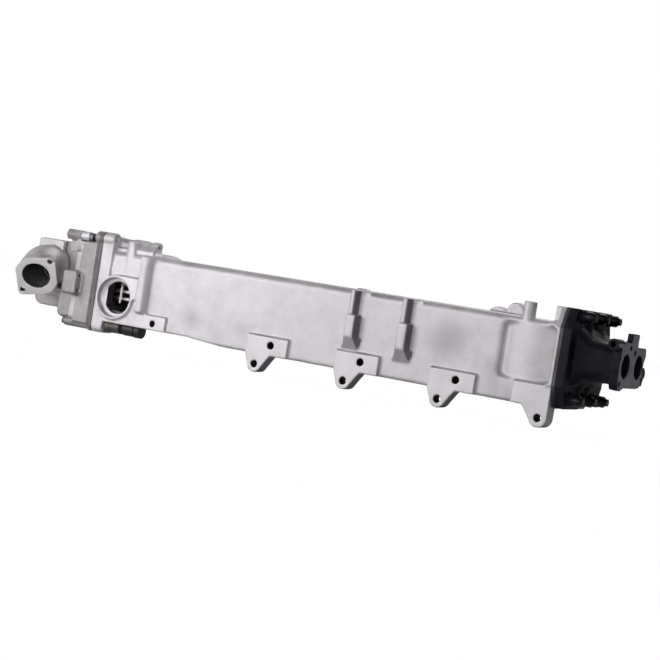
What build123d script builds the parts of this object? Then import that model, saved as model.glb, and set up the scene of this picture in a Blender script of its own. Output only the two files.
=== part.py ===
"""Exhaust gas recirculation cooler: a cast jacket, a flat tube core and its end castings.

Frame, in millimetres: X runs along the cooler towards the hot gas inlet, Y points away
from the lug face, Z is up. The origin is the middle of the lower lug bolt row, on the
machined lug face Y = 0.
"""
from build123d import *
import os

# Lug face: four bolt lugs along the bottom edge of the jacket
lug_pitch = 155.0
lug_count = 4
lug_hole_d = 11.0
lug_radius = 12.5
lug_depth = 22.0
corner_lug_depth = 28.0
corner_lug_left = 27.0
corner_pad_left = 44.0
corner_pad_top_z = 49.2
blind_hole_depth = 20.0
blind_boss_r = 10.5
upper_hole_dx = 24.0
upper_hole_z = 31.2
pad_left = 43.0
pad_right = 30.0
pad_bottom_z = 15.2
pad_top_z = 44.2

# Single bolt pad near the cold end
end_pad_hole_x = -428.3
end_pad_hole_d = 10.0
end_pad_half_w = 24.6
end_pad_bottom_z = 20.8
end_pad_top_z = 43.6

# Jacket casting
body_front_y = 6.0
body_depth = 146.0
body_bottom_z = 15.2
body_top_z = 136.5
top_edge_r = 11.0
bottom_edge_r = 4.0
wall = 6.0
cold_face_x = -545.5
hot_face_x = 246.0
tail_rise = 5.6
tail_rise_x = -365.5
tail_flat_x = -300.0

# Gas core: flat stainless tubes in two stacks
core_side = 4.0
core_end = 7.2
core_centre_z = 91.0
tube_rows = 6
tube_pitch_z = 12.0
tube_w = 48.0
tube_h = 7.6
tube_wall = 0.8
tube_edge_share = 0.293
stack_gap = 6.0
tube_fit = 0.2
header_t = 3.0
cold_header_t = 14.0
seal_w = 4.0
seal_depth = 2.4
core_clear = 0.3
grid_t = 3.5
grid_x = (-513.6, -330.0, -150.0, 30.0)
grid_slot_clear = 0.3
grid_foot_z = 54.0

# Hot end: jacket flange, gasket and gas inlet manifold
hot_flange_t = 17.0
hot_flange_front_y = -1.5
hot_flange_back_y = 160.0
hot_flange_bottom_z = 17.5
hot_flange_top_z = 158.7
hot_flange_cut_y = 14.0
hot_flange_cut_z = 30.0
hot_flange_rear_rise = 5.0
hot_gasket_t = 1.5
hot_bolt_d = 6.0
hot_bolt_pitch_y = 52.0
hot_bolt_top_z = 149.0
hot_bolt_bottom_z = 31.5
hot_boss_r = 9.5
hot_ear_back = 8.0
inlet_flange_t = 13.0
inlet_boss_len = 8.0
inlet_face_x = 329.5
port_d = 33.0
port_pitch_y = 57.0
port_z = 89.5
port_flange_t = 13.0
port_bolt_d = 7.0

# Cold end: jacket flange, gasket, gas outlet cover and elbow
cold_flange_t = 20.5
cold_flange_front_y = 0.0
cold_flange_back_y = 155.5
cold_flange_bottom_z = 2.0
cold_flange_top_z = 157.0
cold_flange_r = 9.0
cold_rear_z = (29.0, 151.0)
cold_rear_cut = 28.0
cold_boss_r = 11.0
cold_small_boss_r = 7.4
cold_front_foot_y = 34.0
cold_bolt_d = 6.0
cold_bolt_depth = 11.5
cover_gasket_t = 1.5
cover_flange_t = 8.0
cover_panel_x = -584.0
cover_panel_bottom_z = 12.5
cover_panel_top_z = 144.0
cover_chamber_x = -702.0
cover_chamber_front_y = 43.0
cover_chamber_back_y = 138.0
cover_chamber_bottom_z = 28.0
cover_chamber_top_z = 139.0
cover_wall = 5.0

# Coolant port on the lug face side
port_centre_x = -506.0
port_centre_z = 62.2
port_face_y = -6.0
port_rim_r = 35.5
port_counterbore_r = 31.5
port_counterbore_depth = 11.0
port_opening_r = 25.7
port_flat = 20.5

# Gas outlet elbow
elbow_face = Vector(-654.6, -20.0, 75.3)
elbow_out = Vector(0.377, -0.759, -0.531).normalized()
elbow_across = Vector(0.924, 0.351, 0.154)
elbow_run = 41.0
elbow_bend_r = 42.0
elbow_bore_d = 45.0
elbow_body_r = 31.2
elbow_flange_half_w = 36.7
elbow_flange_top = 33.7
elbow_flange_bottom = 36.4
elbow_flange_t = 11.0
elbow_bolt_x = 27.5
elbow_bolt_y = 26.2
elbow_bolt_d = 8.5
elbow_base_t = 9.0
elbow_gasket_t = 1.0

# Hex and cap screws
screw_head_h = 6.5
screw_head_af = 10.0
screw_flange_r = 6.8
screw_flange_t = 2.0
screw_clear = 0.5
sleeve_r = 8.2


def block(x, y, z):
    """A box between the given (low, high) limits."""
    size = Box(x[1] - x[0], y[1] - y[0], z[1] - z[0])
    return Pos((x[0] + x[1]) / 2, (y[0] + y[1]) / 2, (z[0] + z[1]) / 2) * size


def rod_x(r, x, y, z):
    """A round bar along X between the two x limits."""
    return Pos((x[0] + x[1]) / 2, y, z) * Rot(0, 90, 0) * Cylinder(r, x[1] - x[0])


def rod_y(r, x, y, z):
    """A round bar along Y between the two y limits."""
    return Pos(x, (y[0] + y[1]) / 2, z) * Rot(90, 0, 0) * Cylinder(r, y[1] - y[0])


def rod_z(r, x, y, z):
    """A round bar along Z between the two z limits."""
    return Pos(x, y, (z[0] + z[1]) / 2) * Cylinder(r, z[1] - z[0])


def hex_x(across_flats, x, y, z):
    """A hexagonal bar along X."""
    plane = Plane(origin=(x[0], y, z), x_dir=(0, 1, 0), z_dir=(1, 0, 0))
    shape = plane * RegularPolygon(across_flats / 2, 6, major_radius=False)
    return extrude(shape, x[1] - x[0])


def side_plane(y):
    """Drawing plane seen from the lug side: local x is X and local y is Z."""
    return Plane(origin=(0, y, 0), x_dir=(1, 0, 0), z_dir=(0, -1, 0))


def end_plane(x):
    """Drawing plane seen from the hot end: local x is Y and local y is Z."""
    return Plane(origin=(x, 0, 0), x_dir=(0, 1, 0), z_dir=(1, 0, 0))


def side_slab(sketch, y):
    """A side view sketch given depth between the two y limits."""
    return extrude(side_plane(y[1]) * sketch, y[1] - y[0])


def end_slab(sketch, x):
    """An end view sketch given length between the two x limits."""
    return extrude(end_plane(x[0]) * sketch, x[1] - x[0])


def outline(*points):
    """A filled polygon through the points."""
    return make_face(Polyline(*points, close=True))


def rect(a, b, r=0.0):
    """A filled rectangle between (low, high) limits, with one corner radius."""
    w = a[1] - a[0]
    h = b[1] - b[0]
    shape = RectangleRounded(w, h, r) if r > 0 else Rectangle(w, h)
    return Pos((a[0] + a[1]) / 2, (b[0] + b[1]) / 2) * shape


def disc(r, a, b):
    """A filled circle at (a, b)."""
    return Pos(a, b) * Circle(r)


body_back_y = body_front_y + body_depth
core_centre_y = body_front_y + body_depth / 2
core_half_w = tube_w + stack_gap / 2 + core_side
core_half_h = (tube_rows - 1) * tube_pitch_z / 2 + tube_h / 2 + core_end
lug_x = [(i - (lug_count - 1) / 2) * lug_pitch for i in range(lug_count)]
core_y = (core_centre_y - core_half_w, core_centre_y + core_half_w)
core_z = (core_centre_z - core_half_h, core_centre_z + core_half_h)
hot_gasket_x = (hot_face_x, hot_face_x + hot_gasket_t)
header_x = (hot_gasket_x[1], hot_gasket_x[1] + header_t)
inlet_x = (header_x[1], header_x[1] + inlet_flange_t)
boss_end_x = inlet_x[1] + inlet_boss_len
cover_gasket_x = (cold_face_x - cover_gasket_t, cold_face_x)
cover_face_x = cover_gasket_x[0]
cold_header_x = (cold_face_x + core_clear, cold_face_x + core_clear + cold_header_t)
hot_bolts = [
    (core_centre_y + i * hot_bolt_pitch_y, z)
    for z in (hot_bolt_top_z, hot_bolt_bottom_z)
    for i in (-1, 0, 1)
]
cold_bolt_in = 9.0
cold_nose_drop = 4.4
cold_bolt_spread = 27.0
cold_bolt_front_y = cold_flange_front_y + cold_bolt_in
cold_bolt_back_y = cold_flange_back_y - screw_flange_r - 1.0
cold_nose_z = cold_flange_top_z - cold_nose_drop
cold_bolts = [
    (core_centre_y, cold_rear_z[1] - screw_flange_r),
    (core_centre_y, cold_rear_z[0] + cold_bolt_in),
    (cold_bolt_back_y, core_centre_z + cold_bolt_spread),
    (cold_bolt_back_y, core_centre_z - cold_bolt_spread),
]
cold_long_bolt = (cold_bolt_front_y, cold_flange_bottom_z + cold_bolt_in)
cold_nose_bolt = (cold_bolt_front_y, cold_nose_z)
cold_all_bolts = cold_bolts + [cold_long_bolt, cold_nose_bolt]


def core_window(clear=0.0):
    """The rectangular opening that the gas core passes through."""
    y = (core_y[0] - clear, core_y[1] + clear)
    z = (core_z[0] - clear, core_z[1] + clear)
    return rect(y, z, 6.0)


def hot_flange_outline():
    """Joint face of the hot end, with cut corners and a shallower rear half below."""
    y0, y1 = hot_flange_front_y, hot_flange_back_y
    z0, z1 = hot_flange_bottom_z, hot_flange_top_z
    cy, cz = hot_flange_cut_y, hot_flange_cut_z
    rear_z = z0 + hot_flange_rear_rise
    return outline(
        (y0, z0 + cz), (y0, z1 - cz), (y0 + cy, z1), (y1 - cy, z1), (y1, z1 - cz), (y1, z0 + cz),
        (y1 - cy, rear_z), (core_centre_y + cy, rear_z), (core_centre_y - cy / 2, z0), (y0 + cy, z0),
    )


def cold_flange_outline():
    """Joint face of the cold end: a rounded plate, deeper in front, with an ear on top."""
    y0, y1 = cold_flange_front_y, cold_flange_back_y
    z0, z1 = cold_rear_z
    cut = cold_rear_cut
    shape = outline(
        (y0 + cut, z0), (y0 + cut, z1), (y1 - cut, z1), (y1, z1 - cut), (y1, z0 + cut / 2), (y1 - cut / 2, z0),
    )
    shape += rect((y0, cold_front_foot_y), (cold_flange_bottom_z, cold_flange_top_z), cold_flange_r)
    return shape + disc(cold_boss_r, *cold_nose_bolt)


def body_section(inset=0.0):
    """Cross-section of the jacket, or of its inside when inset by the wall."""
    y = (body_front_y + inset, body_back_y - inset)
    z = (body_bottom_z + inset, body_top_z - inset)
    shape = rect(y, z)
    corners = shape.vertices().sort_by(Axis.Y)
    shape = fillet(corners[2:], top_edge_r - inset)
    return fillet(shape.vertices().sort_by(Axis.Y)[:2], max(bottom_edge_r - inset, 1.0))


def lug_outline(hole_x):
    """Bolt pad with a tongue that hangs down to the lower hole."""
    upper_x = hole_x + upper_hole_dx
    left, right = upper_x - pad_left, upper_x + pad_right
    pad = outline((left, pad_bottom_z), (right, pad_bottom_z), (right, pad_top_z), (left, pad_top_z))
    tongue = outline(
        (left, pad_top_z - 6), (left, pad_bottom_z),
        (hole_x - lug_radius + 0.6, -3.0), (hole_x, -lug_radius),
        (hole_x + lug_radius * 0.72, -lug_radius * 0.69), (upper_x + 0.5, pad_bottom_z - 1.0),
        (upper_x + 4.0, pad_bottom_z + 4.0), (upper_x + 4.0, pad_top_z - 6),
    )
    return pad, tongue + disc(lug_radius, hole_x, 0.0)


def lugs():
    """The three pads with tongues and the corner lug under the hot flange."""
    solids = []
    for hole_x in lug_x[:-1]:
        pad, tongue = lug_outline(hole_x)
        solids.append(side_slab(pad, (0.0, body_front_y + 2.0)))
        solids.append(side_slab(tongue, (0.0, lug_depth)))
    hole_x = lug_x[-1]
    corner_r = hot_face_x - hole_x
    corner = outline(
        (hole_x - corner_lug_left, pad_bottom_z), (hole_x - lug_radius * 0.88, -lug_radius * 0.52), (hole_x, 0.0),
        (hot_face_x, 0.0), (hot_face_x, corner_pad_top_z), (hole_x - corner_lug_left, corner_pad_top_z),
    )
    corner += disc(corner_r, hole_x, 0.0) & rect((hole_x - 13.0, hot_face_x), (-13.0, 5.0))
    solids.append(side_slab(corner, (0.0, corner_lug_depth)))
    corner_pad = rect((hole_x - corner_pad_left, hot_face_x), (pad_bottom_z, corner_pad_top_z))
    solids.append(side_slab(corner_pad, (0.0, body_front_y + 2.0)))
    return solids


rib_rise = 15.0
rib_run = 28.0
rib_flat = 15.5
rib_draft = 2.5
rib_bar = 11.0
rib_hollow = 0.25
rib_top_drop = 0.6
rib_slope = 17.5
rib_spread = 7.0
rib_step_z = 98.7
rib_step = 2.0
rib_x = (-84.2, 1.8)
rib_foot_z = (48.0, 43.0)


def rib_profile(x0, flat, rise, run, hollow):
    """Plan view of a rib: a square left edge, a flat nose and a curved flank."""
    nose_y = body_front_y - rise
    root_y = body_front_y + 3.0
    bend = (x0 + flat + hollow * (run - flat), nose_y + (1.0 - hollow) * rise)
    side = Polyline((x0, root_y), (x0, nose_y), (x0 + flat, nose_y))
    flank = ThreePointArc((x0 + flat, nose_y), bend, (x0 + run, body_front_y))
    back = Polyline((x0 + run, body_front_y), (x0 + run, root_y), (x0, root_y))
    return make_face(side + flank + back)


def rib_foot(x0, foot_z):
    """Sloped foot that spreads from the rib's flat down to the wall."""
    nose_y = body_front_y - rib_rise
    root_y = body_front_y + 3.0
    upper = make_face(Polyline(
        (x0, root_y), (x0, nose_y), (x0 + rib_flat, nose_y), (x0 + rib_run - 2.0, root_y), close=True,
    ))
    lower = make_face(Polyline(
        (x0 - rib_spread, root_y), (x0 - rib_spread, body_front_y - 1.0),
        (x0 + rib_flat + 3.0, body_front_y - 1.0), (x0 + rib_run - 2.0, root_y), close=True,
    ))
    return loft([Pos(0, 0, foot_z) * lower, Pos(0, 0, foot_z + rib_slope) * upper])


def ribs():
    """Two upright ribs on the front wall, each with a round bar, a flat, a hollow flank and a sloped foot."""
    solids = []
    nose_y = body_front_y - rib_rise
    root_y = body_front_y + 3.0
    bar_r = rib_bar / 2
    bar_y = nose_y + rib_step + bar_r
    top_z = body_top_z - rib_top_drop
    for x0, foot_z in zip(rib_x, rib_foot_z):
        flat_z = foot_z + rib_slope
        flank = rib_profile(x0, bar_r, body_front_y - bar_y + bar_r / 2, rib_run, rib_hollow)
        bar = rect((x0, x0 + rib_bar), (bar_y, root_y)) + disc(bar_r, x0 + bar_r, bar_y)
        for shape in (flank, bar):
            solids.append(extrude(Pos(0, 0, flat_z) * shape, top_z - flat_z, dir=(0, 0, 1)))
        flat = outline(
            (x0, root_y), (x0, nose_y), (x0 + rib_flat, nose_y), (x0 + rib_flat + rib_draft, root_y),
        )
        solids.append(extrude(Pos(0, 0, flat_z) * flat, rib_step_z - flat_z, dir=(0, 0, 1)))
        solids.append(rib_foot(x0, foot_z))
    return solids


pocket_x = (160.0, 242.0)
pocket_z = (49.0, 127.0)
pocket_depth = 9.0
pocket_bulge = 8.5
pocket_corner_r = 9.0
pocket_floor_r = 5.0
pocket_lean = 5.0


def pocket():
    """Recess with leaning walls beside the hot flange, and the round water space bulging in it."""
    half = (pocket_x[1] - pocket_x[0]) / 2
    mid_x = (pocket_x[0] + pocket_x[1]) / 2
    r = (pocket_bulge**2 + half**2) / (2 * pocket_bulge)
    floor_y = body_front_y + pocket_depth
    crest_y = floor_y - pocket_bulge
    rim = rect(
        (pocket_x[0] - pocket_lean / 2, pocket_x[1]),
        (pocket_z[0] - pocket_lean / 2, pocket_z[1] + pocket_lean / 2), pocket_corner_r,
    )
    floor = rect(
        (pocket_x[0] + pocket_lean, pocket_x[1] - pocket_lean / 5),
        (pocket_z[0] + pocket_lean, pocket_z[1] - pocket_lean), pocket_floor_r,
    )
    cut = loft([side_plane(body_front_y) * rim, side_plane(floor_y) * floor])
    cut += side_slab(rim, (hot_flange_front_y - 2.0, body_front_y + 0.1))
    bulge = rod_z(r, mid_x, crest_y + r, (pocket_z[0] - pocket_lean, pocket_z[1] + pocket_lean))
    return cut - bulge


end_block_left_x = -460.2
end_block_run = 16.0
end_block_rise = 19.0
end_block_flat = 2.5


def end_block():
    """Upright shoulder that closes the window beside the coolant port."""
    foot_z = end_pad_top_z + 1.0
    shape = rib_profile(end_block_left_x, end_block_flat, end_block_rise, end_block_run, 0.72)
    return extrude(Pos(0, 0, foot_z) * shape, body_top_z - foot_z - 0.6, dir=(0, 0, 1))


window_boss_x = -495.5
window_boss_r = 9.1
window_boss_top_z = 155.0


def coolant_port():
    """Round machined port boss with a square pad that runs into the end block."""
    y = (port_face_y, body_front_y + wall)
    boss = rod_y(port_rim_r, port_centre_x, y, port_centre_z)
    pad = block((port_centre_x, end_block_left_x + 2.0), y, (port_centre_z, port_centre_z + port_rim_r))
    return [boss, pad]


def coolant_port_hole():
    """Counterbore and the opening behind it, which has one straight side."""
    seat_y = port_face_y + port_counterbore_depth
    counter = rod_y(port_counterbore_r, port_centre_x, (port_face_y - 1.0, seat_y), port_centre_z)
    hole = rod_y(port_opening_r, port_centre_x + 1.0, (seat_y - 1.0, core_y[0]), port_centre_z)
    keep_x = port_centre_x - port_flat
    side = block((keep_x - 20.0, keep_x), (seat_y - 2.0, core_y[0] + 1.0), (0.0, 120.0))
    return counter, hole - side


ridge_x = (-540.0, -455.0)
ridge_front_y = 13.0
ridge_crest_y = (27.0, 37.5)
ridge_top_z = 157.6
ridge_boss_x = ((-540.0, -526.0), (-503.0, -477.0), (-466.0, -455.0))
ridge_boss_y = 30.0
ridge_boss_z = 151.0
ridge_boss_r = 8.2
ridge_hole_d = 5.0
tail_top_z = 142.0
tail_top_x = -452.0
tail_top_y = (18.0, 62.0)
tail_top_r = 52.0


def rear_ridge():
    """Raised tail of the jacket with a ridge and three bosses on it."""
    section = outline(
        (ridge_front_y, body_top_z - 8.0), (ridge_front_y, tail_top_z),
        (ridge_crest_y[0], ridge_top_z), (ridge_crest_y[1], ridge_top_z),
        (ridge_crest_y[1], body_top_z - 8.0),
    )
    notch = block((ridge_boss_x[0][1], ridge_boss_x[1][0]), (0.0, ridge_crest_y[0] - 6.0), (tail_top_z, 200.0))
    solids = [end_slab(section, ridge_x) - notch]
    for x in ridge_boss_x:
        solids.append(rod_x(ridge_boss_r, x, ridge_boss_y, ridge_boss_z))
    solids.append(block((drain_x - 2.0, tail_top_x), tail_top_y, (body_top_z - 8.0, tail_top_z)))
    bend = rod_y(tail_top_r, tail_top_x, tail_top_y, tail_top_z - tail_top_r)
    return solids + [bend & block((tail_top_x, tail_top_x + tail_top_r), tail_top_y, (body_top_z - 8.0, 200.0))]


top_post_x = 190.0
top_post_y = 17.0
top_post_r = 9.2
top_post_z = 158.5
top_stub_x = 143.0
top_stub_r = 14.0
top_stub_y = (80.0, 108.0)
top_dome_x = 115.0
top_dome_r = 20.0
top_dome_y = (86.0, 102.0)
top_pad_x = (-97.0, -80.0)
top_pad_y = (38.0, 52.0)


def top_bosses():
    """Post, half-round stub, dome and small pad on the top wall."""
    stub_z = body_top_z + 3.5
    solids = [
        rod_z(top_post_r, top_post_x, top_post_y, (body_top_z - 12.0, top_post_z)),
        rod_y(top_stub_r, top_stub_x, top_stub_y, stub_z),
        rod_y(top_dome_r, top_dome_x, top_dome_y, body_top_z + 8.0 - top_dome_r),
        block(top_pad_x, top_pad_y, (body_top_z - 3.0, body_top_z + 2.5)),
    ]
    return solids


drain_x = cold_face_x + cold_flange_t
drain_y = 16.0
drain_z = 15.0
drain_thread_r = 7.0
drain_thread_len = 8.0
recess_back_y = 62.0
recess_lift = 12.0


def underside_recess():
    """Relief under the cold end that leaves room for the drain fitting."""
    x = (cold_face_x + cold_flange_t, end_pad_hole_x - 8.0)
    return block(x, (body_front_y - 1.0, recess_back_y), (0.0, end_pad_bottom_z + recess_lift))


def cooler_housing():
    """The cast aluminium jacket with everything that is cast on it."""
    shell = end_slab(body_section(), (cold_face_x, hot_face_x))
    tail = outline(
        (cold_face_x - 1.0, 0.0), (cold_face_x - 1.0, body_bottom_z + tail_rise),
        (tail_rise_x, body_bottom_z + tail_rise), (tail_flat_x, body_bottom_z), (tail_flat_x, 0.0),
    )
    shell -= side_slab(tail, (-20.0, body_back_y + 5.0))
    shell += block((drain_x - 2.0, end_pad_hole_x - end_pad_half_w), (0.0, body_front_y + 2.0),
                   (end_pad_bottom_z, port_centre_z))
    shell += end_slab(hot_flange_outline(), (hot_face_x - hot_flange_t, hot_face_x))
    shell -= block((hot_face_x - hot_flange_t - 1.0, hot_face_x - hot_ear_back), (hot_flange_front_y - 1.0, 15.0),
                   (body_top_z, hot_flange_top_z + 1.0))
    shell += end_slab(cold_flange_outline(), (cold_face_x, drain_x))
    end_pad = rect(
        (end_pad_hole_x - end_pad_half_w, end_pad_hole_x + end_pad_half_w),
        (end_pad_bottom_z, end_pad_top_z),
    )
    shell += side_slab(end_pad, (0.0, body_front_y + 2.0))
    for piece in lugs() + ribs() + rear_ridge() + top_bosses() + coolant_port():
        shell += piece
    shell += end_block()
    window_boss_z = (port_centre_z + port_rim_r - 4.0, window_boss_top_z)
    shell += rod_z(window_boss_r, window_boss_x, body_front_y + 8.0, window_boss_z)

    shell -= pocket()
    shell -= underside_recess()
    shell -= jacket_cavity()
    for cut in coolant_port_hole():
        shell -= cut
    return drilled_housing(shell)


def jacket_cavity():
    """Water space: full section along the body, core window at both joint faces."""
    main_x = (cold_face_x + cold_flange_t + 1.0, pocket_x[0] - wall)
    main = end_slab(body_section(wall), main_x)
    recess_roof = end_pad_bottom_z + recess_lift + wall
    main -= block(
        (main_x[0] - 1.0, end_pad_hole_x + wall), (0.0, recess_back_y + wall), (0.0, recess_roof)
    )
    for x in [x + upper_hole_dx for x in lug_x[:-1]] + [end_pad_hole_x]:
        main -= rod_y(blind_boss_r, x, (0.0, blind_hole_depth + 4.0), upper_hole_z)
    window = end_slab(core_window(core_clear), (cold_face_x - 1.0, hot_face_x + 1.0))
    return main + window


def drilled_housing(shell):
    """The jacket with its bolt holes."""
    for x in lug_x:
        shell -= rod_y(lug_hole_d / 2, x, (-1.0, corner_lug_depth + 1.0), 0.0)
    for x in lug_x[:-1]:
        shell -= rod_y(lug_hole_d / 2, x + upper_hole_dx, (-1.0, blind_hole_depth), upper_hole_z)
    shell -= rod_y(end_pad_hole_d / 2, end_pad_hole_x, (-1.0, blind_hole_depth), upper_hole_z)
    for y, z in hot_bolts:
        shell -= rod_x(hot_bolt_d / 2, (hot_face_x - hot_flange_t + 1.0, hot_face_x + 1.0), y, z)
    for y, z in cold_bolts + [cold_long_bolt]:
        shell -= rod_x(cold_bolt_d / 2, (cold_face_x - 1.0, cold_face_x + cold_bolt_depth), y, z)
    shell -= rod_x(cold_bolt_d / 2, (cold_face_x - 1.0, drain_x + 1.0), *cold_nose_bolt)
    ear = (ridge_x[1] - blind_hole_depth, ridge_x[1] + 1.0)
    shell -= rod_x(ridge_hole_d / 2, ear, ridge_boss_y, ridge_boss_z)
    shell -= rod_x(drain_thread_r, (drain_x - drain_thread_len, drain_x + 1.0), drain_y, drain_z)
    return shell


def tube_places():
    """Centre (y, z) of every tube in the front stack, then in the rear one."""
    half = (tube_w + stack_gap) / 2
    low = core_centre_z - (tube_rows - 1) * tube_pitch_z / 2
    return [
        [(core_centre_y + side * half, low + i * tube_pitch_z) for i in range(tube_rows)]
        for side in (-1, 1)
    ]


def tube_section(y, z, grow=0.0):
    """Flat section of one tube, with the edges of its narrow sides cut at an angle."""
    w = tube_w / 2 + grow
    h = tube_h / 2 + grow
    cut = 2 * h * tube_edge_share
    return outline(
        (y - w, z - h + cut), (y - w, z + h - cut), (y - w + cut, z + h), (y + w - cut, z + h),
        (y + w, z + h - cut), (y + w, z - h + cut), (y + w - cut, z - h), (y - w + cut, z - h),
    )


tube_x = (cold_face_x + core_clear + 2.0, header_x[1])


def tube_stack(places):
    """One stack of flat tubes, open at both ends."""
    tubes = []
    for y, z in places:
        tubes.append(end_slab(tube_section(y, z) - tube_section(y, z, -tube_wall), tube_x))
    return Compound(children=tubes)


def tube_slots(x):
    """Openings for all tubes, cut through the x limits."""
    slots = []
    for places in tube_places():
        for y, z in places:
            slots.append(end_slab(tube_section(y, z, tube_fit), x))
    return slots


def hot_header_plate():
    """Header that is clamped between the jacket flange and the manifold."""
    plate = end_slab(hot_flange_outline(), header_x)
    for y, z in hot_bolts:
        plate -= rod_x(hot_bolt_d / 2 + screw_clear, (header_x[0] - 1, header_x[1] + 1), y, z)
    for slot in tube_slots((header_x[0] - 1, header_x[1] + 1)):
        plate -= slot
    return plate


def cold_header():
    """Sliding header in the cold flange, with a groove for its seal."""
    plate = end_slab(core_window(), cold_header_x)
    mid = (cold_header_x[0] + cold_header_x[1]) / 2
    groove_x = (mid - seal_w / 2, mid + seal_w / 2)
    plate -= end_slab(core_window(2.0), groove_x) - end_slab(core_window(-seal_depth), groove_x)
    for slot in tube_slots((cold_header_x[0] - 1, cold_header_x[1] + 1)):
        plate -= slot
    return plate


def cold_header_seal():
    """Rubber seal in the groove of the sliding header."""
    mid = (cold_header_x[0] + cold_header_x[1]) / 2
    x = (mid - seal_w / 2 + 0.2, mid + seal_w / 2 - 0.2)
    return end_slab(core_window(core_clear - 0.1), x) - end_slab(core_window(-seal_depth + 0.1), x)


def tube_grids():
    """Grids that hold the tubes apart along the jacket."""
    plates = []
    for x0 in grid_x:
        x = (x0, x0 + grid_t)
        y = (core_y[0] - 2.0, core_y[1] + 2.0)
        plate = end_slab(rect(y, (grid_foot_z, body_top_z - wall - core_clear)), x)
        for places in tube_places():
            for ty, tz in places:
                half_w = tube_w / 2 + grid_slot_clear
                half_h = tube_h / 2 + grid_slot_clear
                slot = rect((ty - half_w, ty + half_w), (tz - half_h, tz + half_h))
                plate -= end_slab(slot, (x[0] - 1, x[1] + 1))
        plates.append(plate)
    return Compound(children=plates)


def hot_gasket():
    """Bead gasket between the jacket and the header plate."""
    ring = end_slab(hot_flange_outline(), hot_gasket_x)
    ring -= end_slab(core_window(2.0), (hot_gasket_x[0] - 1, hot_gasket_x[1] + 1))
    for y, z in hot_bolts:
        ring -= rod_x(hot_bolt_d / 2 + screw_clear, (hot_gasket_x[0] - 1, hot_gasket_x[1] + 1), y, z)
    return ring


port_y = (core_centre_y - port_pitch_y / 2, core_centre_y + port_pitch_y / 2)
port_bolts = ((34.7, 64.8), (129.0, 71.7), (63.3, 115.5), (84.5, 109.4))
neck_x = (inlet_x[1] - 2.0, inlet_face_x - port_flange_t)
neck_half_w = 51.0
neck_half_h = 27.5
neck_r = 18.0
web_y = 17.0
web_t = 7.0
web_reach = 16.0
side_boss_x = 321.0
side_boss_z = 118.0
side_boss_r = 8.2
side_boss_y = (8.0, 40.0)
side_boss_hole_d = 7.6
stop_lug_y = (64.0, 94.0)
stop_lug_top_z = 136.0
stop_lug_t = 8.5
ear_t = 9.0
ear_back = 3.5


def port_flange():
    """Twin port joint face of the manifold."""
    return outline(
        (24.0, 84.0), (26.5, 64.0), (31.6, 56.0), (44.0, 54.5), (56.0, 59.0), (112.0, 59.0),
        (125.7, 60.5), (131.0, 66.0), (129.0, 84.0), (131.0, 97.0), (136.0, 107.0), (132.5, 117.5),
        (97.0, 117.5), (74.0, 124.0), (34.0, 123.0), (24.5, 112.0),
    )


def rear_ear():
    """Outline of the small ear beside the rear port."""
    return outline(
        (124.0, 61.0), (147.0, 63.0), (149.0, 71.0), (155.5, 77.0), (155.5, 84.0), (149.0, 89.5), (126.0, 92.0),
    )


def gas_inlet_manifold():
    """Cast iron inlet: a joint flange, a waisted neck and the twin port face."""
    body = end_slab(hot_flange_outline(), inlet_x)
    for y, z in hot_bolts:
        body += rod_x(hot_boss_r, (inlet_x[0] + 2.0, boss_end_x), y, z)
    root = rect((core_y[0] - 6.0, core_y[1] + 6.0), (core_z[0] - 4.0, core_z[1] + 4.0), neck_r)
    waist_x = neck_x[0] + web_reach + 4.0
    waist_y = (core_centre_y - neck_half_w - 4.0, core_centre_y + neck_half_w + 4.0)
    waist_z = (port_z - neck_half_h - 1.0, port_z + neck_half_h + 4.0)
    waist = rect(waist_y, waist_z, neck_r)
    tip_y = (core_centre_y - neck_half_w, core_centre_y + neck_half_w)
    tip = rect(tip_y, (port_z - neck_half_h, port_z + neck_half_h), neck_r)
    body += loft([end_plane(neck_x[0]) * root, end_plane(waist_x) * waist])
    body += loft([end_plane(waist_x) * waist, end_plane(neck_x[1] + 2.0) * tip])
    body += end_slab(port_flange(), (inlet_face_x - port_flange_t, inlet_face_x))
    body += end_slab(rear_ear(), (inlet_face_x - ear_back - ear_t, inlet_face_x - ear_back))
    body += manifold_webs()
    body += rod_y(side_boss_r, side_boss_x, side_boss_y, side_boss_z)
    body += block((inlet_face_x - stop_lug_t, inlet_face_x), stop_lug_y, (port_z + neck_half_h - 4.0, stop_lug_top_z))

    for y in port_y:
        body -= inlet_duct(y)
    body -= rod_y(side_boss_hole_d / 2, side_boss_x, (side_boss_y[0] - 1.0, side_boss_y[0] + 16.0), side_boss_z)
    for y, z in port_bolts:
        body -= rod_x(port_bolt_d / 2, (inlet_face_x - port_flange_t + 2.0, inlet_face_x + 1.0), y, z)
    for y, z in hot_bolts:
        body -= rod_x(hot_bolt_d / 2 + screw_clear, (inlet_x[0] - 1.0, boss_end_x + 1.0), y, z)
    return body


def inlet_duct(y):
    """One gas passage: round at the port, a wide rectangle at the header."""
    side = -1 if y < core_centre_y else 1
    inner = core_centre_y + side * 1.5
    outer = core_centre_y + side * core_half_w
    limits = (min(inner, outer), max(inner, outer))
    mouth = end_plane(inlet_x[0] - 0.5) * rect(limits, core_z, 7.0)
    throat_x = neck_x[1] - 8.0
    throat = end_plane(throat_x) * disc(port_d / 2, y, port_z)
    duct = loft([mouth, throat])
    return duct + rod_x(port_d / 2, (throat_x - 0.5, inlet_face_x + 1.0), y, port_z)


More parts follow.
